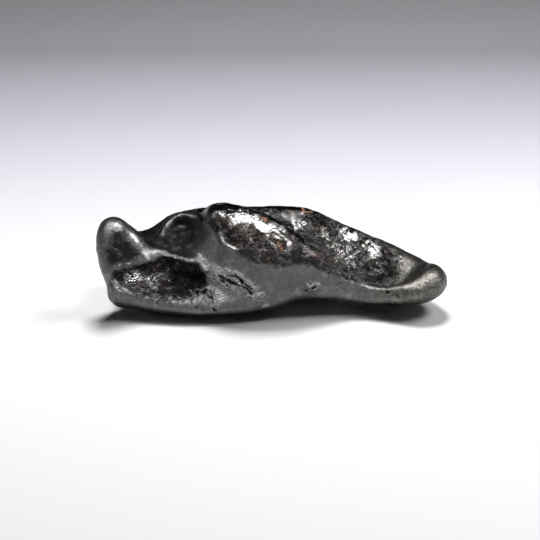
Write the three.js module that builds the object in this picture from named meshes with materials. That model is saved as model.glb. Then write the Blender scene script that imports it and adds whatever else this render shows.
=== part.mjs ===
// Iron meteorite: one small, twisted individual of nickel-iron, lying on its belly.
// Millimetres. x runs along its length, y away from the viewer, z up, and it rests on z = 0.
import * as THREE from "three";

// Size of the mesh cells, the rounding of the edge round the flat spot, and the space that is searched.
const GRID_STEP = 0.8;
const SEAT_LEVEL = -1.0;
const SEAT_ROUNDING = 0.5;
const SEARCH_LOW = [-30, -14, -2.5];
const SEARCH_HIGH = [30, 14, 17];

// Distances are negative inside the iron. These join and cut them with a rounded seam.
function smoothMin(a, b, blend) {
  const near = Math.max(blend - Math.abs(a - b), 0) / blend;
  return Math.min(a, b) - (near * near * blend) / 4;
}
function smoothMax(a, b, blend) {
  return -smoothMin(-a, -b, blend);
}

// Distance to an ellipsoid, turned by Euler angles in degrees about z, then y, then x.
function ellipsoid(centre, radii, turn = [0, 0, 0]) {
  const angles = turn.map(THREE.MathUtils.degToRad);
  const toLocal = new THREE.Matrix4()
    .makeRotationFromEuler(new THREE.Euler(...angles, "ZYX"))
    .setPosition(...centre)
    .invert();
  const local = new THREE.Vector3();
  const [rx, ry, rz] = radii;
  return (p) => {
    local.copy(p).applyMatrix4(toLocal);
    const reach = Math.hypot(local.x / rx, local.y / ry, local.z / rz);
    const slope = Math.hypot(local.x / rx ** 2, local.y / ry ** 2, local.z / rz ** 2);
    return slope < 1e-9 ? -Math.min(rx, ry, rz) : (reach * (reach - 1)) / slope;
  };
}

// Distance to a round ridge along a smooth curve. Each stop is [x, y, z, radius].
function ridge(stops, segments = 24) {
  const centres = stops.map(([x, y, z]) => new THREE.Vector3(x, y, z));
  const line = new THREE.CatmullRomCurve3(centres, false, "centripetal");
  const points = [];
  for (let i = 0; i <= segments; i++) {
    const along = (i / segments) * (stops.length - 1);
    const stop = Math.min(Math.floor(along), stops.length - 2);
    const t = along - stop;
    const eased = t * t * (3 - 2 * t);
    points.push({
      at: line.getPoint(i / segments),
      radius: stops[stop][3] + (stops[stop + 1][3] - stops[stop][3]) * eased,
    });
  }
  const run = new THREE.Vector3();
  const offset = new THREE.Vector3();
  return (p) => {
    let nearest = Infinity;
    for (let i = 0; i < segments; i++) {
      const { at: a, radius: ra } = points[i];
      const { at: b, radius: rb } = points[i + 1];
      run.subVectors(b, a);
      offset.subVectors(p, a);
      const t = THREE.MathUtils.clamp(offset.dot(run) / run.lengthSq(), 0, 1);
      nearest = Math.min(nearest, offset.addScaledVector(run, -t).length() - ra - (rb - ra) * t);
    }
    return nearest;
  };
}

// The body grows step by step. A step marked cut takes metal away, and each seam is rounded by its
// blend. The values are in a working frame whose middle is moved to the origin at the end.
const STEPS = [
  { name: "belly", blend: 3, shape: ellipsoid([-5.5, -1.0, 4.4], [15.5, 6.4, 6.2], [4, 0, -2]) },
  { name: "back", blend: 3, shape: ellipsoid([-2, 3.4, 4.4], [16.5, 5.4, 5.3], [0, 2, 2]) },
  { name: "tongue plate", blend: 2.2, shape: ellipsoid([12.5, 0.0, 3.2], [12.5, 6.2, 2.2], [20, 4, -14]) },
  {
    name: "back rim",
    blend: 1.8,
    shape: ridge([
      [-20.4, 4.0, 5.9, 1.7],
      [-17.8, 5.2, 6.6, 1.6],
      [-15.8, 6.0, 7.3, 1.6],
      [-14.0, 6.4, 8.2, 1.7],
      [-11.0, 6.7, 8.6, 1.8],
      [-5.0, 6.7, 8.8, 1.9],
      [0.0, 6.6, 8.9, 1.9],
      [5.2, 6.4, 8.8, 1.8],
      [8.4, 5.6, 7.9, 1.6],
      [12.2, 4.6, 6.5, 1.5],
      [15.8, 3.4, 5.3, 1.4],
      [19.4, 1.8, 3.9, 1.3],
      [22.2, -0.8, 3.4, 1.4],
    ]),
  },
  {
    name: "foot",
    blend: 2.0,
    shape: ridge([
      [-21.6, -5.2, 2.0, 1.9],
      [-18.1, -6.1, 1.4, 1.7],
      [-14.1, -6.9, 1.1, 1.6],
      [-10.0, -7.3, 1.2, 1.7],
      [-6.5, -7.3, 1.6, 1.9],
      [-3.0, -7.0, 2.2, 2.2],
      [0.5, -6.2, 3.1, 2.5],
    ]),
  },
  {
    name: "knuckle",
    blend: 2.0,
    shape: ridge([
      [-9.8, 2.2, 9.9, 2.6],
      [-6.65, 0.0, 10.6, 3.4],
      [-3.7, -1.1, 10.1, 4.1],
      [-0.8, -1.6, 8.8, 4.4],
      [2.2, -2.4, 7.5, 4.0],
      [4.9, -3.2, 6.1, 3.2],
      [6.8, -4.0, 5.0, 2.3],
    ]),
  },
  {
    name: "apron",
    blend: 2.0,
    shape: ridge([
      [-10.0, -2.6, 5.8, 3.4],
      [-6.6, -3.2, 6.4, 3.8],
      [-3.3, -3.5, 5.8, 3.7],
      [0.4, -3.9, 4.5, 3.3],
      [4.0, -4.3, 4.3, 3.0],
      [6.8, -4.6, 4.1, 2.6],
      [9.5, -5.3, 3.5, 1.8],
    ]),
  },
  {
    name: "horn",
    blend: 1.8,
    shape: ridge([
      [-21.6, -5.2, 2.4, 1.9],
      [-22.4, -5.0, 4.8, 1.9],
      [-23.25, -4.0, 7.6, 2.05],
      [-23.4, -3.0, 9.9, 2.0],
      [-23.0, -2.5, 10.8, 1.9],
    ]),
  },
  { name: "horn root", blend: 1.6, shape: ellipsoid([-18.8, 1.4, 4.2], [4.0, 4.2, 3.4]) },
  {
    name: "horn shoulder",
    blend: 1.4,
    shape: ridge([
      [-22.8, -2.4, 10.7, 1.85],
      [-22.0, -2.2, 10.0, 1.85],
      [-20.7, -2.1, 8.5, 1.9],
      [-18.9, -1.9, 7.3, 1.9],
      [-16.6, -1.6, 6.3, 1.9],
      [-15.0, 0.2, 5.8, 1.9],
    ]),
  },
  { name: "horn face", blend: 1.6, shape: ellipsoid([-20.6, -3.0, 6.2], [3.0, 2.0, 4.4], [-16, 8, 0]) },
  {
    name: "tongue front",
    blend: 1.2,
    shape: ridge([
      [7.6, -5.1, 3.9, 2.2],
      [9.5, -5.5, 3.6, 1.75],
      [13.2, -6.0, 2.9, 1.4],
      [16.8, -6.5, 2.5, 1.4],
      [19.6, -6.4, 2.6, 1.7],
      [21.8, -5.6, 2.9, 2.2],
      [23.2, -4.4, 3.3, 2.4],
    ]),
  },
  { name: "tip", blend: 1.4, shape: ellipsoid([22.95, -3.6, 3.5], [3.05, 3.0, 2.4], [0, 0, -20]) },
  {
    name: "tongue slope",
    blend: 1.4,
    shape: ridge([
      [9.0, 3.0, 5.6, 1.8],
      [11.0, 2.7, 5.4, 2.1],
      [13.4, 2.1, 4.8, 2.1],
      [16.0, 1.2, 3.9, 1.9],
      [19.0, -0.2, 3.0, 1.8],
    ]),
  },
  {
    name: "scoop",
    cut: true,
    blend: 1.2,
    shape: ridge([
      [11.9, -21.3, 6.6, 16.0],
      [5.2, -21.9, 8.0, 16.0],
      [-3.0, -22.5, 9.8, 16.0],
      [-8.6, -20.4, 11.0, 14.8],
      [-12.8, -15.2, 12.9, 12.2],
      [-13.8, -8.2, 13.8, 7.6],
    ], 60),
  },
  {
    name: "dish",
    cut: true,
    blend: 1.8,
    shape: ellipsoid([-14.2, 0.5, 12.2], [4.3, 14.0, 4.0], [17, 0, 0]),
  },
  {
    name: "saddle",
    cut: true,
    blend: 1.2,
    shape: ellipsoid([-18.8, 4.4, 11.0], [2.6, 5.2, 3.3], [4, 0, 0]),
  },
  {
    name: "valley",
    cut: true,
    blend: 2.6,
    shape: ridge([
      [-2, 2.9, 13.8, 2.6],
      [3, 1.9, 12.6, 3.2],
      [6.6, 1.0, 11.2, 3.7],
      [10, 0.2, 9.9, 3.7],
      [13, -0.9, 8.6, 3.3],
      [17.2, -2.2, 7.2, 2.8],
      [19.4, -2.8, 6.6, 2.6],
    ]),
  },
  {
    name: "trough",
    cut: true,
    blend: 1.5,
    shape: ridge([
      [11.0, -2.4, 6.6, 2.2],
      [13.5, -3.0, 5.8, 2.1],
      [16.5, -3.5, 5.2, 2.1],
      [19.2, -3.4, 5.4, 1.9],
      [21.2, -2.9, 6.9, 1.9],
    ]),
  },
  {
    name: "dish rim",
    blend: 0.8,
    shape: ridge([
      [-16.0, -0.2, 7.0, 0.8],
      [-16.3, 1.2, 7.5, 0.7],
      [-15.9, 2.6, 8.5, 0.7],
      [-15.0, 3.9, 9.3, 0.7],
      [-13.4, 4.9, 9.9, 0.7],
      [-11.2, 4.4, 10.0, 0.8],
    ]),
  },
  {
    name: "brow over the pit",
    blend: 0.9,
    shape: ridge([
      [-22.2, -4.7, 5.2, 1.1],
      [-19.5, -4.1, 6.2, 1.0],
      [-16.6, -2.7, 7.5, 0.8],
      [-14.0, -3.6, 6.8, 0.8],
      [-11.0, -4.0, 6.4, 1.0],
    ]),
  },
  {
    name: "pit roof",
    cut: true,
    blend: 0.5,
    shape: ellipsoid([-14.2, -7.4, 5.2], [4.8, 4.8, 2.6], [4, 10, -4]),
  },
  {
    name: "pit",
    cut: true,
    blend: 0.6,
    shape: ellipsoid([-16.4, -7.6, 4.5], [6.8, 4.2, 1.7], [14, 3, -8]),
  },
  {
    name: "pit floor",
    cut: true,
    blend: 0.6,
    shape: ellipsoid([-13.0, -6.4, 4.2], [3.4, 4.4, 1.5], [14, 4, -6]),
  },
  {
    name: "thumbprint on the horn",
    cut: true,
    blend: 1.0,
    shape: ellipsoid([-26.4, -2.6, 6.4], [1.6, 2.2, 2.8]),
  },
  {
    name: "thumbprint under the saddle",
    cut: true,
    blend: 1.2,
    shape: ellipsoid([-17.6, 8.4, 3.8], [3.0, 2.4, 2.0]),
  },
  {
    name: "left back thumbprint",
    cut: true,
    blend: 1.2,
    shape: ellipsoid([-9.6, 10.6, 5.6], [3.3, 2.2, 2.3]),
  },
  {
    name: "middle back thumbprint",
    cut: true,
    blend: 1.2,
    shape: ellipsoid([-1.8, 10.9, 4.4], [2.9, 2.3, 2.0]),
  },
  {
    name: "right back thumbprint",
    cut: true,
    blend: 1.2,
    shape: ellipsoid([5.2, 10.4, 5.8], [3.2, 2.3, 2.2]),
  },
  {
    name: "outer back thumbprint",
    cut: true,
    blend: 1.2,
    shape: ellipsoid([13.0, 7.6, 3.6], [3.0, 2.0, 1.6], [0, 0, -20]),
  },
];

const [BELLY, ...LATER_STEPS] = STEPS;

// The whole body, cut level where it rests.
function iron(p) {
  let distance = BELLY.shape(p);
  for (const { cut, shape, blend } of LATER_STEPS) {
    distance = cut ? smoothMax(distance, -shape(p), blend) : smoothMin(distance, shape(p), blend);
  }
  return smoothMax(distance, SEAT_LEVEL - p.z, SEAT_ROUNDING);
}

// The surface of a distance field as one closed mesh: a vertex in each grid cell that the surface
// crosses, and a quad round each grid edge that it crosses.
function skin(field, low, high, step) {
  const [nx, ny, nz] = low.map((from, axis) => Math.ceil((high[axis] - from) / step) + 1);
  const values = new Float64Array(nx * ny * nz);
  const stride = [1, nx, nx * ny];
  const cellAt = (i, j, k) => i + nx * j + nx * ny * k;
  const p = new THREE.Vector3();
  for (let k = 0; k < nz; k++) {
    for (let j = 0; j < ny; j++) {
      for (let i = 0; i < nx; i++) {
        p.set(low[0] + i * step, low[1] + j * step, low[2] + k * step);
        values[cellAt(i, j, k)] = field(p);
      }
    }
  }
  const corners = [0, 1, 2, 3, 4, 5, 6, 7].map((c) => [c & 1, (c >> 1) & 1, c >> 2]);
  const edges = [];
  for (let a = 0; a < 8; a++) {
    for (const bit of [1, 2, 4]) {
      if (!(a & bit)) edges.push([a, a | bit]);
    }
  }
  const points = [];
  const pointOfCell = new Map();
  for (let k = 0; k < nz - 1; k++) {
    for (let j = 0; j < ny - 1; j++) {
      for (let i = 0; i < nx - 1; i++) {
        const at = corners.map(([a, b, c]) => values[cellAt(i + a, j + b, k + c)]);
        const sum = new THREE.Vector3();
        let crossings = 0;
        for (const [a, b] of edges) {
          if (at[a] < 0 === at[b] < 0) continue;
          const from = new THREE.Vector3(...corners[a]);
          sum.add(from.lerp(new THREE.Vector3(...corners[b]), at[a] / (at[a] - at[b])));
          crossings++;
        }
        if (!crossings) continue;
        pointOfCell.set(cellAt(i, j, k), points.length);
        sum.divideScalar(crossings).add(new THREE.Vector3(i, j, k));
        points.push(sum.multiplyScalar(step).add(new THREE.Vector3(...low)));
      }
    }
  }
  const quads = [];
  for (let k = 1; k < nz - 1; k++) {
    for (let j = 1; j < ny - 1; j++) {
      for (let i = 1; i < nx - 1; i++) {
        const here = cellAt(i, j, k);
        const inside = values[here] < 0;
        for (let axis = 0; axis < 3; axis++) {
          if (inside === values[here + stride[axis]] < 0) continue;
          const u = stride[(axis + 1) % 3];
          const v = stride[(axis + 2) % 3];
          const ring = [here - u - v, here - v, here, here - u].map((cell) => pointOfCell.get(cell));
          quads.push(inside ? ring : ring.reverse());
        }
      }
    }
  }
  return { points, quads };
}

// Evens out the quads and draws each point onto the surface, a few times over.
function settle(field, points, quads, rounds) {
  const reach = 0.02;
  const slope = new THREE.Vector3();
  const probe = new THREE.Vector3();
  const axes = ["x", "y", "z"];
  const ontoSurface = (p) => {
    const here = field(p);
    for (const axis of axes) {
      probe.copy(p);
      probe[axis] += reach;
      slope[axis] = (field(probe) - here) / reach;
    }
    p.addScaledVector(slope, -here / Math.max(slope.lengthSq(), 0.25));
  };
  for (let round = 0; round < rounds; round++) {
    const sums = points.map(() => new THREE.Vector3());
    const counts = new Array(points.length).fill(0);
    for (const ring of quads) {
      ring.forEach((at, side) => {
        sums[at].add(points[ring[(side + 1) % 4]]).add(points[ring[(side + 3) % 4]]);
        counts[at] += 2;
      });
    }
    points.forEach((p, at) => {
      p.lerp(sums[at].divideScalar(counts[at]), 0.5);
      ontoSurface(p);
      ontoSurface(p);
    });
  }
}

// Each quad becomes two triangles, cut along its shorter diagonal unless that line is an edge already.
function facets(points, quads) {
  const lineOf = (a, b) => `${Math.min(a, b)} ${Math.max(a, b)}`;
  const lines = new Set();
  for (const ring of quads) {
    ring.forEach((at, side) => lines.add(lineOf(at, ring[(side + 1) % 4])));
  }
  const triangles = [];
  for (const [a, b, c, d] of quads) {
    const shorterAC = points[a].distanceTo(points[c]) < points[b].distanceTo(points[d]);
    const alongAC = shorterAC ? !lines.has(lineOf(a, c)) : lines.has(lineOf(b, d));
    lines.add(alongAC ? lineOf(a, c) : lineOf(b, d));
    triangles.push(...(alongAC ? [a, b, c, a, c, d] : [a, b, d, b, c, d]));
  }
  const geometry = new THREE.BufferGeometry().setFromPoints(points);
  geometry.setIndex(triangles);
  geometry.computeVertexNormals();
  return geometry;
}

// The body with its bounding box centred on x and y, and its flat spot at z = 0.
function meteorite() {
  const { points, quads } = skin(iron, SEARCH_LOW, SEARCH_HIGH, GRID_STEP);
  settle(iron, points, quads, 3);
  for (const p of points) {
    if (p.z < SEAT_LEVEL + 0.01) p.z = SEAT_LEVEL;
  }
  const geometry = facets(points, quads);
  geometry.computeBoundingBox();
  const middle = geometry.boundingBox.getCenter(new THREE.Vector3());
  geometry.translate(-middle.x, -middle.y, -SEAT_LEVEL);
  const bareIron = new THREE.MeshStandardMaterial({ color: 0x6b6a68, roughness: 0.35, metalness: 1 });
  const mesh = new THREE.Mesh(geometry, bareIron);
  mesh.name = "iron_meteorite";
  return mesh;
}

const group = new THREE.Group();
group.add(meteorite());
export default group;
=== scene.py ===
import math

import bmesh
import bpy
import numpy as np
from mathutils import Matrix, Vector


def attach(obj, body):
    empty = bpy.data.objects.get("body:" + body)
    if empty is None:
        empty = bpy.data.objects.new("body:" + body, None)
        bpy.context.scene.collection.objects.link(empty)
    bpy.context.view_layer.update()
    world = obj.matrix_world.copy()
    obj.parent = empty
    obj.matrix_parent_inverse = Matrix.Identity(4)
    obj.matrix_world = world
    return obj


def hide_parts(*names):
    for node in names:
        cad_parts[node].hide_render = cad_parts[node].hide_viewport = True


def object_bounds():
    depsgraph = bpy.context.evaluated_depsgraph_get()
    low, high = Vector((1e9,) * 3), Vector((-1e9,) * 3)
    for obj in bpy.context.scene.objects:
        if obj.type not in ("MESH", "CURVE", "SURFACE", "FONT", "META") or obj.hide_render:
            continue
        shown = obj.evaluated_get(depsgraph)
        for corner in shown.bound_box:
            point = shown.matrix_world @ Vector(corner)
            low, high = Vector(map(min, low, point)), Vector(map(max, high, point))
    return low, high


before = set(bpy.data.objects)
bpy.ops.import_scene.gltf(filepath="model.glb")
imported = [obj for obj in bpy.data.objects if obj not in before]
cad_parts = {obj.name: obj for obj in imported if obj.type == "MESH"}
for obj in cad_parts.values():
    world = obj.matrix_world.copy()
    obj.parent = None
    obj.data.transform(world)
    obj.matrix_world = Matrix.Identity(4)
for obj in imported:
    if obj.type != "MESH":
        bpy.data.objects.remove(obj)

cad_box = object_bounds()

# The meteorite is one natural piece of nickel-iron. It melted and froze into a twisted drop, the
# weather etched it, and handling has worn its high places bright.
MM = 0.001
# How close the merged corners are, how far the two triangles of a quad may be folded and skewed, how
# often each quad is halved, and how far its corners move out so that rounding keeps the size.
MERGE_GAP = 0.002 * MM
QUAD_FOLD = math.radians(60)
QUAD_SKEW = math.radians(75)
FINE_LEVELS = 2
KEEP_SIZE = 0.8
SIZE_ROUNDS = 3


def smooth_copy(node):
    """The solid as quads with merged corners, rounded by subdivision without growing thinner."""
    mesh = node.data.copy()
    body = bmesh.new()
    body.from_mesh(mesh)
    bmesh.ops.remove_doubles(body, verts=body.verts, dist=MERGE_GAP)
    bmesh.ops.join_triangles(
        body,
        faces=body.faces,
        angle_face_threshold=QUAD_FOLD,
        angle_shape_threshold=QUAD_SKEW,
    )
    targets = [corner.co.copy() for corner in body.verts]
    for _ in range(SIZE_ROUNDS):
        gaps = []
        for corner, target in zip(body.verts, targets):
            n = len(corner.link_edges)
            edge_sum = Vector()
            for edge in corner.link_edges:
                edge_sum += edge.other_vert(corner).co
            face_sum = Vector()
            for face in corner.link_faces:
                face_sum += face.calc_center_median()
            rounded = (corner.co * n * (n - 2) + edge_sum + face_sum) / (n * n)
            gaps.append(target - rounded)
        for corner, gap in zip(body.verts, gaps):
            corner.co += gap * KEEP_SIZE
    body.to_mesh(mesh)
    body.free()
    mesh.materials.clear()
    piece = bpy.data.objects.new("meteorite", mesh)
    bpy.context.scene.collection.objects.link(piece)
    rounding = piece.modifiers.new("rounding", "SUBSURF")
    rounding.levels = rounding.render_levels = FINE_LEVELS
    return piece


def as_plain_mesh(piece):
    """Takes what the modifiers make as the piece's own mesh, and drops the modifiers."""
    evaluated = piece.evaluated_get(bpy.context.evaluated_depsgraph_get())
    fixed = bpy.data.meshes.new_from_object(evaluated)
    piece.modifiers.clear()
    piece.data = fixed
    fixed.shade_smooth()


class Signal:
    """A socket of a node tree that adds, multiplies and so on like a number."""

    def __init__(self, tree, out):
        self.tree = tree
        self.out = out

    def make(self, kind, settings=None, inputs=None, output=0):
        """A new node: its settings first, then the value or link of each socket."""
        node = self.tree.nodes.new(kind)
        for name, value in (settings or {}).items():
            if name == "stops":
                ramp = node.color_ramp
                while len(ramp.elements) < len(value):
                    ramp.elements.new(1.0)
                for element, (place, colour) in zip(ramp.elements, value):
                    element.position = place
                    element.color = colour
            else:
                setattr(node, name, value)
        for name, value in (inputs or {}).items():
            if isinstance(value, Signal):
                self.tree.links.new(value.out, node.inputs[name])
            else:
                node.inputs[name].default_value = value
        return Signal(self.tree, node.outputs[output])

    def math(self, operation, *others):
        """A Math node that works on this value first and the others after it."""
        values = {i: value for i, value in enumerate([self, *others])}
        return self.make("ShaderNodeMath", {"operation": operation}, values)

    def reversed_math(self, operation, other):
        """A Math node that works on the other value first."""
        return self.make("ShaderNodeMath", {"operation": operation}, {0: other, 1: self})

    def __add__(self, other):
        return self.math("ADD", other)

    def __radd__(self, other):
        return self.reversed_math("ADD", other)

    def __sub__(self, other):
        return self.math("SUBTRACT", other)

    def __rsub__(self, other):
        return self.reversed_math("SUBTRACT", other)

    def __mul__(self, other):
        return self.math("MULTIPLY", other)

    def __rmul__(self, other):
        return self.reversed_math("MULTIPLY", other)

    def ramp(self, low, high):
        """0 at low, 1 at high, eased in between."""
        return self.make(
            "ShaderNodeMapRange",
            {"interpolation_type": "SMOOTHSTEP"},
            {"Value": self, "From Min": low, "From Max": high},
        )


body = smooth_copy(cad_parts["iron_meteorite"])
as_plain_mesh(body)

# What lies where on the near side is given as seen from the front, slightly above: millimetres
# across and up from the middle of the piece.
LOOK_DOWN = math.radians(25)
FORWARD = np.array((0, math.cos(LOOK_DOWN), -math.sin(LOOK_DOWN)))
UP = np.array((0, math.sin(LOOK_DOWN), math.cos(LOOK_DOWN)))
MIDDLE = np.array((-0.37, 0.06, 6.0))
VIEW_DISTANCE = 240
EYE = MIDDLE - FORWARD * VIEW_DISTANCE


def eased(values, low, high):
    """0 at low, 1 at high, eased in between."""
    t = np.clip((values - low) / (high - low), 0, 1)
    return t * t * (3 - 2 * t)


def line_distance(places, line):
    """Distance of each place from a line of points, and how far along the line it lies, 0 to 1."""
    nearest = np.full(len(places), 1e9)
    along = np.zeros(len(places))
    for i, (start, end) in enumerate(zip(line, line[1:])):
        start, run = np.array(start), np.subtract(end, start)
        t = np.clip((places - start) @ run / (run @ run), 0, 1)
        gap = np.linalg.norm(places - start - t[:, None] * run, axis=1)
        closer = gap < nearest
        nearest[closer] = gap[closer]
        along[closer] = (i + t[closer]) / (len(line) - 1)
    return nearest, along


def inside(places, outline, soft):
    """1 well inside a closed outline, 0 well outside, with a seam of the given softness."""
    ring = [*outline, outline[0]]
    gap, _ = line_distance(places, ring)
    x, y = places.T
    crossed = np.zeros(len(places), bool)
    for (x0, y0), (x1, y1) in zip(ring, ring[1:]):
        if y0 != y1:
            spans = (y0 > y) != (y1 > y)
            crossed ^= spans & (x < x0 + (y - y0) * (x1 - x0) / (y1 - y0))
    return eased(np.where(crossed, gap, -gap), -soft / 2, soft / 2)


def spot(places, centre, size, turn=0.0):
    """1 in the middle of an oval, 0 at its edge. The size is half its width and height."""
    angle = math.radians(turn)
    across = np.array((math.cos(angle), math.sin(angle)))
    upward = np.array((-math.sin(angle), math.cos(angle)))
    offset = places - np.array(centre)
    reach = np.hypot(offset @ across / size[0], offset @ upward / size[1])
    return 1 - eased(reach, 0.0, 1.0)


def spots(places, rows):
    """The strongest of several ovals at each place: (place, size, turn, strength)."""
    return np.maximum.reduce(
        [strength * spot(places, centre, size, turn) for centre, size, turn, strength in rows]
    )


def faded(gap, width):
    """1 on a line, fading to 0 within about twice the width."""
    return np.exp(-((gap / width) ** 2))


def tapered(along, start, end):
    """Fades the two ends of a line: 0 at its first point, 1 from start to end, 0 at its last point."""
    return eased(along, 0.0, start) * (1 - eased(along, end, 1.0))


mesh = body.data
corner_count = len(mesh.vertices)
corners = np.empty(corner_count * 3)
mesh.vertices.foreach_get("co", corners)
corners = corners.reshape(-1, 3) / MM
normals = np.empty(corner_count * 3)
mesh.vertices.foreach_get("normal", normals)
normals = normals.reshape(-1, 3)
ray = corners - EYE
places = np.stack((ray[:, 0], ray @ UP), 1) * (VIEW_DISTANCE / (ray @ FORWARD))[:, None]


def wander(places, reach):
    """Shifts places a little to and fro, so that what is drawn on them has a natural edge."""
    x, y = places.T
    across = np.sin(2.1 * x + 1.3 * y)
    across += 0.6 * np.sin(4.7 * y - 2.9 * x)
    across += 0.4 * np.sin(9.1 * x + 5.3 * y)
    upward = np.sin(2.7 * y - 1.1 * x)
    upward += 0.6 * np.sin(5.3 * x + 3.1 * y)
    upward += 0.4 * np.sin(8.3 * y - 6.1 * x)
    return places + reach * np.stack((across, upward), 1)


# 1 where the skin faces the eye, 0 where it faces away.
toward_eye = -(normals * ray).sum(1) / np.linalg.norm(ray, axis=1)
near_side = eased(toward_eye, -0.1, 0.2)

# Outlines of the parts of the near side whose skin differs or that are darkened with painted shade,
# and the line of the crease behind the knuckle, which gets a painted shade line.
KNUCKLE_TOP = [
    (-11.2, 6.7), (-10.1, 8.2), (-6.7, 9.3), (-3.7, 9.3), (-0.9, 8.2), (1.9, 6.7), (4.5, 4.5),
    (6.2, 2.4), (7.9, 0.2), (9.9, -2.1), (8.2, -1.7), (6.7, -1.0), (4.1, -0.7), (0.4, -1.0),
    (-1.9, -0.6), (-3.4, -0.1), (-5.2, 1.2), (-6.7, 2.8), (-8.2, 4.5), (-9.7, 5.6),
]
FAR_SHELF = [
    (-1.9, 9.0), (6.0, 9.0), (8.2, 7.5), (6.2, 5.7), (4.1, 6.1), (2.2, 6.3), (0.0, 7.3),
]
TONGUE_SLOPE = [
    (3.6, 4.9), (4.9, 6.4), (8.2, 6.9), (13.5, 4.0), (17.2, 2.1), (20.6, 0.2), (21.7, -1.1),
    (20.2, -2.6), (17.2, -3.7), (14.2, -3.7), (11.6, -3.1), (9.7, -2.1), (7.7, 0.2), (6.0, 2.4),
]
PIT = [
    (-23.7, -1.5), (-22.5, -1.2), (-20.6, -0.9), (-19.4, -0.6), (-17.5, 0.0), (-16.3, 0.9),
    (-15.6, 0.8), (-13.4, 0.2), (-11.1, -0.2), (-9.3, -1.5), (-8.5, -2.9), (-9.3, -4.0),
    (-11.1, -4.4), (-11.6, -5.9), (-14.1, -6.1), (-16.8, -6.0), (-18.2, -5.7), (-21.2, -4.9),
    (-22.5, -4.0), (-23.6, -2.7),
]
HORN_FACE = [
    (-23.5, 4.1), (-22.1, 4.5), (-20.8, 2.8), (-19.6, 1.5), (-18.7, 0.7), (-20.0, -0.2),
    (-22.2, -0.9), (-23.9, -1.2), (-24.5, -0.4), (-24.4, 1.9),
]
DISH = [
    (-16.6, 3.2), (-15.9, 5.2), (-14.0, 7.1), (-11.2, 7.0), (-10.7, 4.9), (-11.2, 2.4),
    (-12.7, 0.7), (-15.3, 1.1), (-16.5, 2.1),
]
BACK_SLOPE = [
    (-20.3, 4.3), (-18.3, 6.0), (-15.3, 8.2), (-10.1, 8.4), (-11.2, 6.7), (-13.2, 6.9),
    (-14.6, 6.4), (-15.8, 5.0), (-16.3, 3.4), (-17.0, 1.8), (-17.9, 1.6), (-19.0, 2.4),
]
KNUCKLE_END = [
    (1.2, 1.3), (3.4, 2.1), (4.9, 2.8), (6.2, 1.3), (6.9, -0.4), (4.5, -0.7), (1.9, -0.6),
]
DEEP_PIT = [
    (-14.8, -1.9), (-12.7, -1.5), (-9.7, -1.9), (-9.0, -3.0), (-11.2, -4.3), (-11.6, -5.7),
    (-14.5, -5.9), (-15.0, -4.1),
]
BROW_TOP = [
    (-19.3, 2.1), (-16.8, 1.4), (-15.3, 0.7), (-12.7, -0.2), (-10.7, -0.7), (-9.7, 0.4),
    (-10.8, 2.2), (-15.3, 2.4),
]
CREASE_SHADE_LINE = [(-0.7, 7.8), (1.3, 6.8), (3.8, 5.0), (5.7, 2.8), (7.3, 0.6), (9.9, -1.7)]

# Places shifted to and fro by some tenths of a millimetre, for edges that fray a little or a lot.
rough_places = wander(places, reach=0.16)
loose_places = wander(places, reach=0.4)
knuckle_top = inside(rough_places, KNUCKLE_TOP, soft=2.2)
knuckle_end = inside(rough_places, KNUCKLE_END, soft=1.4)
tongue_slope = inside(rough_places, TONGUE_SLOPE, soft=1.4)
# Towards the tip the tongue's oxide thins out.
tongue_slope *= 1 - eased(places[:, 0], 17.0, 22.0)
pit = inside(rough_places, PIT, soft=1.5)
dish = inside(rough_places, DISH, soft=1.6)
back_slope = inside(rough_places, BACK_SLOPE, soft=1.0)
horn_face = inside(rough_places, HORN_FACE, soft=2.4)
far_shelf = inside(rough_places, FAR_SHELF, soft=0.8)
brow_top = inside(rough_places, BROW_TOP, soft=1.2)
# Where the pit's deep end gets painted shade.
deep = inside(rough_places, DEEP_PIT, soft=1.0)
# A painted shade line along the crease where the knuckle meets the valley behind it.
gap, _ = line_distance(rough_places, CREASE_SHADE_LINE)
crease_shade = faded(gap, width=0.45)

# Brown oxide covers the knuckle, the tongue, the pit and most of the horn's face. Painted shade
# darkens the dish, the slope between the horn and the dish, the far shelf behind the knuckle, the
# knuckle's right end, the brow, the horn's face, the crease behind the knuckle and a few more spots
# where highlights are painted out: (place, size, turn, strength).
oxide = np.maximum.reduce([knuckle_top, far_shelf, tongue_slope, pit, 0.75 * horn_face])
PAINTED_SHADE_SPOTS = [
    ((16.3, -3.1), (3.4, 1.0), 0, 0.7),
    ((2.2, 7.0), (1.6, 1.0), 0, 0.6),
    ((-23.3, -3.4), (1.3, 1.2), 0, 0.9),
    ((-12.9, -6.1), (2.4, 0.8), 0, 0.9),
    ((-5.6, 1.7), (1.0, 0.8), 0, 0.5),
]
# The painted shade: how far the colour is darkened in place of shade.
dark = np.maximum.reduce(
    [
        dish,
        back_slope,
        far_shelf,
        knuckle_end,
        0.75 * brow_top,
        0.8 * horn_face,
        0.9 * crease_shade,
        spots(places, PAINTED_SHADE_SPOTS),
    ]
)

# The high places are worn bright along these lines: (line, width, strength).
WORN = [
    ([(-7.2, 7.6), (-5.2, 6.9), (-2.2, 5.9), (0.2, 4.3), (2.2, 2.4)], 0.85, 1.0),
    ([(-22.6, 5.8), (-21.5, 4.9), (-20.2, 3.4), (-19.3, 2.3)], 0.5, 0.9),
    ([(11.2, 4.3), (12.4, 3.2)], 0.7, 1.0),
    ([(14.8, 2.2), (15.7, 0.9)], 0.7, 1.0),
    ([(3.7, 5.0), (4.9, 5.5)], 0.5, 1.0),
    ([(7.5, 4.5), (9.3, 2.4), (10.5, 1.1)], 0.8, 0.35),
    ([(-1.0, -7.0), (-0.4, -6.7)], 0.22, 0.8),
]
worn = np.zeros(corner_count)
for line, width, strength in WORN:
    gap, _ = line_distance(rough_places, line)
    worn = np.maximum(worn, strength * faded(gap, width))

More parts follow.
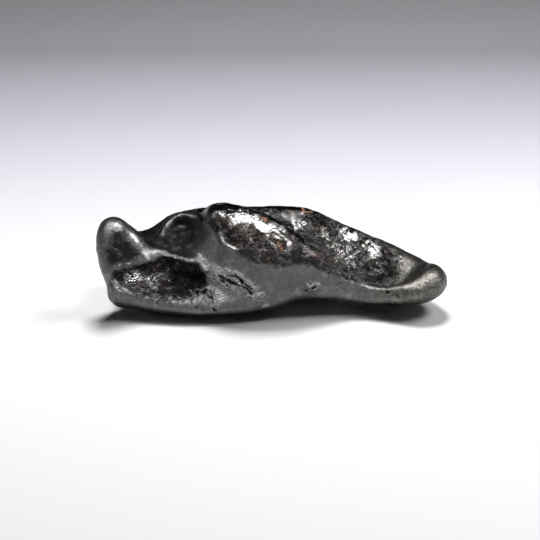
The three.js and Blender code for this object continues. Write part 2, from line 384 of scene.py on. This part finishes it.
# The tongue is crinkled all over but for two smooth, bright bulges. The pit, the knuckle, the horn and
# the tip are crinkled less.
SMOOTH_BULGES = [
    ((12.1, 3.7), (2.0, 1.5), -30, 1.0),
    ((15.4, 1.7), (1.3, 2.0), 25, 1.0),
]
smooth_patch = eased(spots(loose_places, SMOOTH_BULGES), 0.05, 0.8)
horn_end = eased(-places[:, 0], 18.5, 21.0)
tip_end = eased(places[:, 0], 18.0, 21.0)
crinkle = np.maximum.reduce(
    [
        tongue_slope,
        0.7 * pit,
        0.22 * knuckle_top,
        0.13 * horn_end * (1 - horn_face),
        0.08 * tip_end,
    ]
)
crinkle *= (1 - smooth_patch) * (1 - 0.7 * worn)

# The crests of the wrinkles are worn bare here and there: (place, size, turn, strength).
BARE_CRESTS = [
    ((11.2, 0.7), (3.0, 2.2), -45, 1.0),
    ((10.1, 3.0), (2.6, 1.6), -40, 0.5),
    ((15.3, -1.1), (2.4, 2.0), -20, 0.8),
    ((19.1, -0.4), (2.6, 1.4), -30, 0.6),
    ((6.0, 5.4), (2.0, 1.2), -20, 0.7),
    ((-20.4, -2.4), (1.8, 1.3), 0, 1.0),
    ((-17.6, -2.6), (1.2, 1.6), 0, 0.5),
    ((-4.5, 7.1), (2.2, 1.2), -20, 0.6),
    ((4.1, 5.2), (1.2, 1.0), -20, 0.8),
    ((13.8, -3.6), (1.2, 0.6), -20, 0.9),
]
bare = spots(loose_places, BARE_CRESTS)

# Cracks, all but the last torn open below the brow: (line, depth). Each is a groove with raised lips.
LONG_CRACK = [
    (-8.8, -1.9), (-7.3, -2.5), (-6.2, -3.2), (-4.9, -3.7), (-3.7, -4.3), (-2.8, -4.9), (-1.8, -5.5),
]
CRACKS = [
    (LONG_CRACK, 0.3),
    ([(-6.7, -2.2), (-5.2, -2.5), (-3.9, -3.3), (-3.3, -3.9)], 0.22),
    ([(-7.9, -2.7), (-6.9, -3.4), (-6.0, -4.0)], 0.18),
    ([(-4.9, -3.1), (-3.7, -3.7), (-2.4, -4.6)], 0.2),
    ([(-11.8, -4.3), (-10.8, -4.8), (-9.8, -4.9), (-9.0, -5.5), (-8.2, -6.4)], 0.26),
    ([(-11.2, -4.6), (-10.5, -5.4)], 0.16),
    ([(-10.2, -4.5), (-9.0, -4.7), (-8.4, -5.2)], 0.16),
    ([(6.2, -4.2), (7.1, -3.9)], 0.08),
]
GROOVE_WIDTH = 0.2
GROOVE_SHARE = 0.8
LIP_OFFSET = 0.42
LIP_WIDTH = 0.22
LIP_SHARE = 0.2
CRINKLED_REACH = 0.9
CLOSED_END = 0.3
FAR_FROM_CRACKS = 5.0
height = np.zeros(corner_count)
crack_gap = np.full(corner_count, FAR_FROM_CRACKS)
for line, depth in CRACKS:
    gap, along = line_distance(wander(places, reach=0.1), line)
    taper = tapered(along, start=0.15, end=0.8)
    groove = faded(gap, GROOVE_WIDTH) * taper
    lips = faded(gap - LIP_OFFSET, LIP_WIDTH) * taper
    height += near_side * depth * (LIP_SHARE * lips - GROOVE_SHARE * groove)
    kept_away = CLOSED_END * (1 - taper) + FAR_FROM_CRACKS * (1 - near_side)
    crack_gap = np.minimum(crack_gap, gap + kept_away)
    crinkle = np.maximum(crinkle, 0.6 * faded(gap, CRINKLED_REACH))

# Raised lines below the knuckle, round the dish, on the brow and at the pit's lower edge:
# (line, height, width, how bare).
LIPS = [
    ([(-7.8, 4.4), (-7.0, 2.6), (-5.8, 1.7), (-4.5, 1.2)], 0.24, 0.3, 0.9),
    ([(-16.2, 3.4), (-15.7, 5.0), (-14.5, 6.3), (-13.2, 6.8), (-11.4, 6.5)], 0.2, 0.3, 0.2),
    ([(-15.7, 0.9), (-14.2, 0.5), (-12.7, 0.0), (-11.1, -0.1)], 0.22, 0.3, 0.9),
    ([(-23.3, -2.6), (-22.6, -3.9), (-21.2, -4.9), (-18.7, -5.2)], 0.12, 0.22, 0.6),
]
bright = np.zeros(corner_count)
for line, rise, width, bareness in LIPS:
    gap, along = line_distance(places, line)
    lip = faded(gap, width) * tapered(along, start=0.1, end=0.85)
    height += near_side * rise * lip
    bright = np.maximum(bright, near_side * lip * bareness)

# Low bulges and, where the rise is negative, hollows: (place, size, turn, rise).
BULGES = [
    ((12.0, 3.6), (1.7, 1.4), -30, 0.4),
    ((15.3, 1.5), (1.6, 1.5), -30, 0.45),
    ((13.8, 2.1), (0.9, 1.6), 20, -0.5),
    ((4.3, 5.2), (0.9, 0.8), -30, 0.3),
    ((8.2, 1.1), (1.6, 1.0), -35, 0.3),
    ((10.1, 3.0), (1.2, 1.2), 0, -0.3),
    ((17.8, -0.4), (1.0, 1.6), 20, -0.2),
    ((-13.3, 5.2), (1.3, 0.9), 0, -0.35),
]
for centre, size, turn, rise in BULGES:
    height += near_side * rise * spot(places, centre, size, turn)

# Rust spots, longest down the slope of the knuckle: (place, size, turn, strength).
ASLANT = -30
RUST = [
    ((-1.0, 6.1), (1.25, 0.9), ASLANT, 1.0),
    ((0.1, 3.7), (0.9, 0.75), ASLANT, 0.85),
    ((1.6, 1.9), (1.15, 0.8), ASLANT, 1.0),
    ((1.3, 2.5), (0.6, 0.7), ASLANT, 0.8),
    ((5.4, 7.4), (1.7, 0.6), ASLANT, 1.0),
    ((6.2, 7.0), (0.8, 0.5), ASLANT, 0.8),
    ((-6.4, 6.0), (0.7, 0.5), ASLANT, 0.65),
    ((-8.5, 5.2), (0.6, 0.5), ASLANT, 0.55),
    ((7.3, 5.2), (0.8, 1.0), ASLANT, 0.62),
    ((0.1, -0.4), (0.7, 0.5), ASLANT, 0.5),
    ((7.7, -3.4), (0.7, 0.25), ASLANT, 0.6),
    ((9.2, -0.6), (0.6, 0.5), ASLANT, 0.5),
    ((3.0, 7.3), (1.2, 0.5), ASLANT, 0.5),
    ((11.2, 2.4), (0.5, 0.5), ASLANT, 0.45),
]
rust = near_side * spots(rough_places, RUST)

# Reddish brown stains: (place, size, turn, strength).
STAINS = [
    ((7.1, 0.7), (2.2, 1.4), ASLANT, 0.9),
    ((7.4, 5.2), (1.0, 1.3), ASLANT, 0.9),
    ((3.7, 7.2), (2.4, 0.9), ASLANT, 0.7),
    ((-8.2, 5.2), (1.2, 0.9), ASLANT, 0.6),
    ((0.0, -0.4), (1.6, 0.8), ASLANT, 0.7),
    ((9.7, -0.4), (1.4, 0.8), ASLANT, 0.6),
    ((-1.9, 6.0), (1.3, 1.0), ASLANT, 0.7),
    ((1.1, 2.4), (1.4, 1.6), ASLANT, 0.8),
    ((-3.0, 0.4), (1.4, 0.8), ASLANT, 0.6),
]
stain = near_side * spots(places, STAINS)

# Dark specks in the satin skin, close to these lines: (line, width).
SPECKS = [
    ([(-18.3, -6.0), (-12.7, -7.0), (-6.7, -7.4)], 0.6),
    ([(14.2, -3.9), (17.2, -4.9), (21.7, -5.4)], 0.7),
    ([(-10.1, -4.5), (-8.2, -1.9)], 0.6),
    ([(9.2, -2.2), (11.0, -2.7)], 0.9),
    ([(4.1, -5.4), (6.2, -4.2)], 0.7),
]
specks = np.zeros(corner_count)
for line, width in SPECKS:
    gap, _ = line_distance(places, line)
    specks = np.maximum(specks, near_side * faded(gap, width))

# The dull oval on the knuckle, with a bright rim where it has faded to the rim's level.
oval = spot(wander(places, reach=0.08), centre=(1.3, 2.75), size=(2.7, 1.5), turn=-42)
OVAL_RIM_LEVEL = 0.22
OVAL_RIM_WIDTH = 0.13
OVAL_RIM_HEIGHT = 0.14
oval_rim = faded(oval - OVAL_RIM_LEVEL, OVAL_RIM_WIDTH)
height += near_side * OVAL_RIM_HEIGHT * oval_rim
bright = np.maximum(bright, 1.4 * near_side * oval_rim)
worn *= 1 - 0.75 * eased(oval, 0.28, 0.5)

# The pit goes in deepest at its right end.
PIT_DEPTH = 0.9
height -= near_side * PIT_DEPTH * spot(places, centre=(-12.7, -3.3), size=(3.2, 1.7))

corners += normals * height[:, None]
mesh.vertices.foreach_set("co", (corners * MM).ravel())


def store(name, values):
    """Keeps a value for each corner of the mesh under a name that the nodes can read."""
    attribute = mesh.attributes.new(name, "FLOAT", "POINT")
    attribute.data.foreach_set("value", np.asarray(values, np.float32))


store("near side", near_side)
store("oxide", oxide * near_side)
store("dark", dark * near_side)
store("crinkle", crinkle * near_side)
store("crack gap", crack_gap)
store("bright", bright)
store("worn", worn * near_side)
store("deep", deep * near_side)
store("rust", rust)
store("stain", stain)
store("specks", specks)
store("bare", bare * near_side)
store("smooth patch", smooth_patch * near_side)
mesh.update()

# Wrinkles and hammered dents over the whole skin, deeper where the skin is crinkled. The far side has
# its own patches of wrinkles, and shallow hollows.
HOLLOW_DEPTH = 0.7 * MM
WARP_REACH = 2.2 * MM
relief = bpy.data.node_groups.new("wrinkled skin", "GeometryNodeTree")
for name, kind in [
    ("Geometry", "NodeSocketGeometry"),
    ("Dent depth", "NodeSocketFloat"),
    ("Dents per metre", "NodeSocketFloat"),
    ("Wrinkle depth", "NodeSocketFloat"),
    ("Wrinkles per metre", "NodeSocketFloat"),
    ("Seed", "NodeSocketFloat"),
    ("Material", "NodeSocketMaterial"),
]:
    relief.interface.new_socket(name, in_out="INPUT", socket_type=kind)
relief.interface.new_socket("Geometry", in_out="OUTPUT", socket_type="NodeSocketGeometry")
skin = Signal(relief, None)
given = relief.nodes.new("NodeGroupInput")


def socket(name):
    """One of the named inputs of the relief."""
    return Signal(relief, given.outputs[name])


def stored(name):
    """A value that is stored at the corners of the mesh."""
    return skin.make("GeometryNodeInputNamedAttribute", {"data_type": "FLOAT"}, {"Name": name})


def noise(vector, per_metre, detail, seed):
    """Smooth noise between -1 and 1."""
    return (
        skin.make(
            "ShaderNodeTexNoise",
            {"noise_dimensions": "4D"},
            {"Vector": vector, "Scale": per_metre, "Detail": detail, "W": seed},
        )
        * 2
        - 1
    )


position = skin.make("GeometryNodeInputPosition")
dents = noise(position, socket("Dents per metre"), detail=1.0, seed=socket("Seed"))
warp = skin.make(
    "ShaderNodeTexNoise",
    {},
    {"Vector": position, "Scale": 420.0, "Detail": 1.0},
    "Color",
)
warped = skin.make(
    "ShaderNodeVectorMath",
    {"operation": "MULTIPLY_ADD"},
    {0: warp, 1: (WARP_REACH, WARP_REACH, WARP_REACH), 2: position},
)
waves = noise(warped, socket("Wrinkles per metre"), detail=2.0, seed=socket("Seed"))
folds = 1 - 2.4 * waves.math("ABSOLUTE")
far_side = 1 - stored("near side")
far_crinkle = noise(position, per_metre=110.0, detail=2.0, seed=7.0).ramp(-0.1, 0.3) * far_side
hollows = noise(position, per_metre=160.0, detail=1.0, seed=5.0).math("MINIMUM", 0.1)
hollows = hollows * HOLLOW_DEPTH * far_side
crinkled = stored("crinkle") + far_crinkle * 0.7
dented = 0.35 + crinkled + stored("oxide") + far_side * 0.7
lift = dents * socket("Dent depth") * dented + hollows
lift = lift + folds * socket("Wrinkle depth") * crinkled
normal = skin.make("GeometryNodeInputNormal")
offset = skin.make("ShaderNodeVectorMath", {"operation": "SCALE"}, {0: normal, "Scale": lift})
moved = skin.make(
    "GeometryNodeSetPosition", {}, {"Geometry": socket("Geometry"), "Offset": offset}
)
moved = skin.make("GeometryNodeRealizeInstances", {}, {"Geometry": moved})
moved = skin.make(
    "GeometryNodeSetMaterial", {}, {"Geometry": moved, "Material": socket("Material")}
)
result = relief.nodes.new("NodeGroupOutput")
relief.links.new(moved.out, result.inputs["Geometry"])

# Satin grey iron, warmer at the tip, under brown oxide. The crests of the wrinkles are bare, the worn
# places bright, and the rust is matt with a dark halo. Painted shade darkens the dish, the far slopes,
# the brow and a few spots, and paints the pit's deep end and the cracks almost black.
SATIN = ((0.096, 0.098, 0.098, 1), (0.129, 0.132, 0.131, 1))
WARM_SATIN = ((0.065, 0.061, 0.054, 1), (0.145, 0.14, 0.126, 1))
BROWN_OXIDE = ((0.012, 0.0098, 0.009, 1), (0.03, 0.0265, 0.0245, 1))
BARE_CREST = (0.62, 0.61, 0.6, 1)
WORN_IRON = (0.38, 0.375, 0.365, 1)
SMOOTH_IRON = (0.36, 0.355, 0.35, 1)
RAISED_LINE = (0.25, 0.245, 0.235, 1)
TORN_LIP = (0.24, 0.235, 0.23, 1)
PAINTED_SHADE_COLOUR = (0.017, 0.018, 0.019, 1)
STAIN_BROWN = (0.055, 0.032, 0.024, 1)
PAINTED_PIT_SHADE = (0.012, 0.012, 0.013, 1)
SPECK_BLACK = (0.012, 0.011, 0.01, 1)
PAINTED_CRACK_SHADE = (0.006, 0.005, 0.005, 1)
RUST_HALO = (0.05, 0.044, 0.041, 1)
RUST_RED = ((0.09, 0.034, 0.016, 1), (0.38, 0.13, 0.04, 1))
iron = bpy.data.materials.new("weathered iron")
iron.use_nodes = True
iron.node_tree.nodes.clear()
iron_nodes = Signal(iron.node_tree, None)


def painted(name):
    """A value that is stored at the corners of the mesh."""
    return iron_nodes.make("ShaderNodeAttribute", {"attribute_name": name}, output="Fac")


def grain(per_metre, detail=2.0, distortion=0.0):
    """Smooth noise around 0.5 in the metal."""
    return iron_nodes.make(
        "ShaderNodeTexNoise",
        {},
        {"Vector": place, "Scale": per_metre, "Detail": detail, "Distortion": distortion},
    )


def mixed(factor, low, high):
    """The low colour where the factor is 0, the high one where it is 1."""
    return iron_nodes.make(
        "ShaderNodeMix",
        {"data_type": "RGBA"},
        {"Factor": factor, 6: low, 7: high},
        2,
    )


place = iron_nodes.make("ShaderNodeTexCoord", output="Object")
near = painted("near side")
blotches = grain(per_metre=260.0, detail=3.0)
speckle = grain(per_metre=2600.0, detail=3.0)
mottle = grain(per_metre=900.0, detail=3.0).ramp(0.35, 0.65)


def curled(per_metre, distortion, sharpness):
    """Thin curling lines, 1 on their crests and 0 between them."""
    folded = (grain(per_metre, 1.0, distortion) - 0.5).math("ABSOLUTE")
    return (1 - sharpness * folded).math("MAXIMUM", 0.0)


curls = curled(per_metre=1300.0, distortion=1.8, sharpness=3.6)
fine_curls = curled(per_metre=2900.0, distortion=1.5, sharpness=3.2)
far_oxide = grain(per_metre=75.0, detail=3.0).ramp(0.43, 0.58) * (1 - near)
far_worn = grain(per_metre=130.0).ramp(0.56, 0.66) * (1 - near)
far_rust = grain(per_metre=240.0).ramp(0.68, 0.78) * (1 - near)
oxide_mask = painted("oxide") + far_oxide + (blotches - 0.5) * 0.55 + (mottle - 0.5) * 0.25
oxide_mask = oxide_mask.ramp(0.25, 0.75)
worn_mask = painted("worn") + far_worn * 0.55 + (mottle - 0.5) * 0.7 + (blotches - 0.5) * 0.3
worn_mask = worn_mask.ramp(0.1, 0.9)
crinkle_mask = (painted("crinkle") + far_oxide * 0.8).math("MINIMUM", 1.0)
along_piece = iron_nodes.make("ShaderNodeSeparateXYZ", {}, {"Vector": place}, "X")
warm_end = along_piece.ramp(9 * MM, 20 * MM)

satin = mixed(speckle.ramp(0.3, 0.7), *SATIN)
warm_satin = mixed(speckle.ramp(0.3, 0.7), *WARM_SATIN)
satin = mixed(warm_end, satin, warm_satin)
brown = mixed(mottle, *BROWN_OXIDE)
patchy = grain(per_metre=360.0, detail=1.0).ramp(0.42, 0.6)
bareness = painted("bare") * (0.3 + patchy) + 0.16 * crinkle_mask * patchy
crest = curls.ramp(0.45, 0.85) * bareness.math("MINIMUM", 1.0)
brown = mixed(crest, brown, BARE_CREST)
colour = mixed(oxide_mask, satin, brown)
# Painted shade: the colour is darkened to near black where the dark mask lies.
colour = mixed(painted("dark") * 0.95, colour, PAINTED_SHADE_COLOUR)
stain_mask = (painted("stain") + (mottle - 0.5) * 0.8).ramp(0.25, 0.7)
colour = mixed(stain_mask * 0.55, colour, STAIN_BROWN)
colour = mixed(worn_mask, colour, WORN_IRON)
colour = mixed(painted("bright") * 0.5, colour, RAISED_LINE)
colour = mixed(painted("smooth patch") * (0.55 + 0.45 * mottle), colour, SMOOTH_IRON)
# Painted shade: the deep right end of the pit is painted almost black.
colour = mixed(painted("deep") * 0.8, colour, PAINTED_PIT_SHADE)
speck_mask = (grain(per_metre=1300.0, detail=1.0) - 0.5) * 2 + painted("specks") * 0.25
speck_mask = speck_mask.ramp(0.42, 0.5) * painted("specks")
colour = mixed(speck_mask, colour, SPECK_BLACK)
crack_fray = grain(per_metre=1500.0, distortion=1.2) - 0.5
crack_edge = painted("crack gap") + crack_fray * 0.75
crack_mask = 1 - crack_edge.ramp(0.04, 0.18)
beside_crack = 1 - (crack_edge - 0.34).math("ABSOLUTE").ramp(0.03, 0.14)
flakes = beside_crack * curls.ramp(0.3, 0.7)
colour = mixed(flakes * 0.7, colour, TORN_LIP)
# Painted shade: the cracks' grooves are painted almost black.
colour = mixed(crack_mask, colour, PAINTED_CRACK_SHADE)
rust_place = painted("rust") + far_rust
halo = (rust_place + (mottle - 0.5) * 0.2).ramp(0.05, 0.3)
colour = mixed(halo * 0.8, colour, RUST_HALO)
rust_fray = grain(per_metre=1300.0, detail=3.0) - 0.5
rust_mask = (rust_place + rust_fray * 1.5).ramp(0.52, 0.82) * halo
rust_colour = mixed(grain(per_metre=2400.0).ramp(0.38, 0.6), *RUST_RED)
colour = mixed(rust_mask, colour, rust_colour)
metallic = 1 - rust_mask * 0.85
roughness = (
    0.44
    - 0.22 * oxide_mask
    - 0.12 * worn_mask
    + 0.12 * (blotches - 0.5)
    + 0.04 * painted("dark")
    + 0.35 * rust_mask
)
BUMP_DEPTH = 0.22 * MM
surface_height = (
    (curls + 0.4 * fine_curls) * (crinkle_mask + 0.06 * oxide_mask)
    + speckle * (0.25 + 0.15 * oxide_mask)
    - crack_mask * 1.5
    + flakes * 0.5
)
bumps = iron_nodes.make(
    "ShaderNodeBump", {}, {"Strength": 1.0, "Distance": BUMP_DEPTH, "Height": surface_height}
)
shader = iron_nodes.make(
    "ShaderNodeBsdfPrincipled",
    {},
    {"Base Color": colour, "Metallic": metallic, "Roughness": roughness, "Normal": bumps},
)
output = iron.node_tree.nodes.new("ShaderNodeOutputMaterial")
iron.node_tree.links.new(shader.out, output.inputs["Surface"])

wrinkling = body.modifiers.new("wrinkles", "NODES")
wrinkling.node_group = relief
sockets = {
    item.name: item.identifier
    for item in relief.interface.items_tree
    if item.in_out == "INPUT"
}
for name, value in {
    "Dent depth": 0.16 * MM,
    "Dents per metre": 330.0,
    "Wrinkle depth": 0.14 * MM,
    "Wrinkles per metre": 480.0,
    "Seed": 3.0,
    "Material": iron,
}.items():
    wrinkling[sockets[name]] = value
as_plain_mesh(body)

# The relief is held inside the solid's bounding box, so that nothing reaches below the floor.
mesh = body.data
corners = np.empty(len(mesh.vertices) * 3)
mesh.vertices.foreach_get("co", corners)
corners = np.clip(corners.reshape(-1, 3), np.array(cad_box[0]), np.array(cad_box[1]))
mesh.vertices.foreach_set("co", corners.ravel())
mesh.update()

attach(body, "root")
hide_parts("iron_meteorite")

# The floor is a sheet of white paper under a soft light, curved up far behind the piece. Its colour is
# painted grey with distance, as painted shade for the light falling off: the stops of its colour are
# parts of PAPER_FADE, measured back from the piece.
PAPER_FADE = 0.2
PAPER_HALF_WIDTH = 1.5
PAPER_PROFILE = [(-1.5, 0.0), (0.45, 0.0), (0.6, 0.02), (0.72, 0.08), (0.8, 0.2), (0.82, 1.2)]
paper_mesh = bpy.data.meshes.new("paper")
paper_points = [
    (x, depth, height)
    for depth, height in PAPER_PROFILE
    for x in (-PAPER_HALF_WIDTH, PAPER_HALF_WIDTH)
]
paper_faces = [(2 * i, 2 * i + 1, 2 * i + 3, 2 * i + 2) for i in range(len(PAPER_PROFILE) - 1)]
paper_mesh.from_pydata(paper_points, [], paper_faces)
paper_mesh.shade_smooth()
paper = bpy.data.objects.new("paper", paper_mesh)
bpy.context.scene.collection.objects.link(paper)
white = bpy.data.materials.new("white paper")
white.use_nodes = True
white.node_tree.nodes.clear()
sheet = Signal(white.node_tree, None)
sheet_place = sheet.make("ShaderNodeTexCoord", output="Object")
distance = sheet_place.make("ShaderNodeSeparateXYZ", {}, {"Vector": sheet_place}, "Y")
# Painted shade: the paper darkens from near white at the piece to dark grey far behind.
paper_painted_falloff = distance.make(
    "ShaderNodeValToRGB",
    {
        "stops": [
            (0.0, (0.74, 0.74, 0.75, 1)),
            (0.12, (0.595, 0.595, 0.615, 1)),
            (0.27, (0.435, 0.435, 0.475, 1)),
            (0.4, (0.305, 0.305, 0.34, 1)),
            (0.6, (0.152, 0.152, 0.166, 1)),
            (0.82, (0.12, 0.12, 0.125, 1)),
        ]
    },
    {"Fac": distance * (1 / PAPER_FADE)},
)
paper_shader = distance.make("ShaderNodeBsdfDiffuse", {}, {"Color": paper_painted_falloff})
sheet_output = white.node_tree.nodes.new("ShaderNodeOutputMaterial")
white.node_tree.links.new(paper_shader.out, sheet_output.inputs["Surface"])
paper_mesh.materials.append(white)

# A long soft light overhead and a pale card in front shine on the metal and leave the paper alone. Two
# lights further back, one of them to the right, light the paper, throw the shadow forward and aren't
# mirrored in the metal. The room is dark.


def soft_light(name, centre, target, size, watts):
    """A rectangular light at the centre that faces the target."""
    lamp = bpy.data.lights.new(name, "AREA")
    lamp.shape = "RECTANGLE"
    lamp.size, lamp.size_y = size
    lamp.energy = watts
    lamp_object = bpy.data.objects.new(name, lamp)
    lamp_object.location = centre
    direction = Vector(target) - Vector(centre)
    lamp_object.rotation_euler = direction.to_track_quat("-Z", "Y").to_euler()
    bpy.context.scene.collection.objects.link(lamp_object)
    return lamp_object


near_light = soft_light(
    "near light", centre=(0.14, -0.09, 0.28), target=(0.14, 0, 0), size=(0.72, 0.08), watts=3.6
)
near_light.visible_diffuse = False
front_card = soft_light(
    "front card", centre=(0.0, -0.42, 0.16), target=(0, 0, 0), size=(2.0, 0.36), watts=0.75
)
front_card.visible_diffuse = False
far_light = soft_light(
    "far light", centre=(0.0, 0.162, 0.28), target=(0, 0, 0), size=(0.09, 0.08), watts=1.5
)
far_light.visible_glossy = False
side_light = soft_light(
    "side light", centre=(0.2, 0.08, 0.25), target=(0, 0, 0), size=(0.14, 0.1), watts=0.65
)
side_light.visible_glossy = False

room = bpy.data.worlds.new("room")
room.use_nodes = True
room.node_tree.nodes["Background"].inputs["Color"].default_value = (0.9, 0.95, 1.0, 1)
room.node_tree.nodes["Background"].inputs["Strength"].default_value = 0.02
bpy.context.scene.world = room
bpy.context.scene.view_settings.view_transform = "Standard"

# The camera looks down on the piece from the front.
AIM = Vector((-0.37, -0.57, 4.65)) * MM
camera_data = bpy.data.cameras.new("camera")
camera_data.lens = 107.0
camera_data.clip_start = 0.01
camera_data.clip_end = 10.0
camera = bpy.data.objects.new("camera", camera_data)
camera.location = Vector(EYE) * MM
camera.rotation_euler = (AIM - camera.location).to_track_quat("-Z", "Y").to_euler()
bpy.context.scene.collection.objects.link(camera)
bpy.context.scene.camera = camera
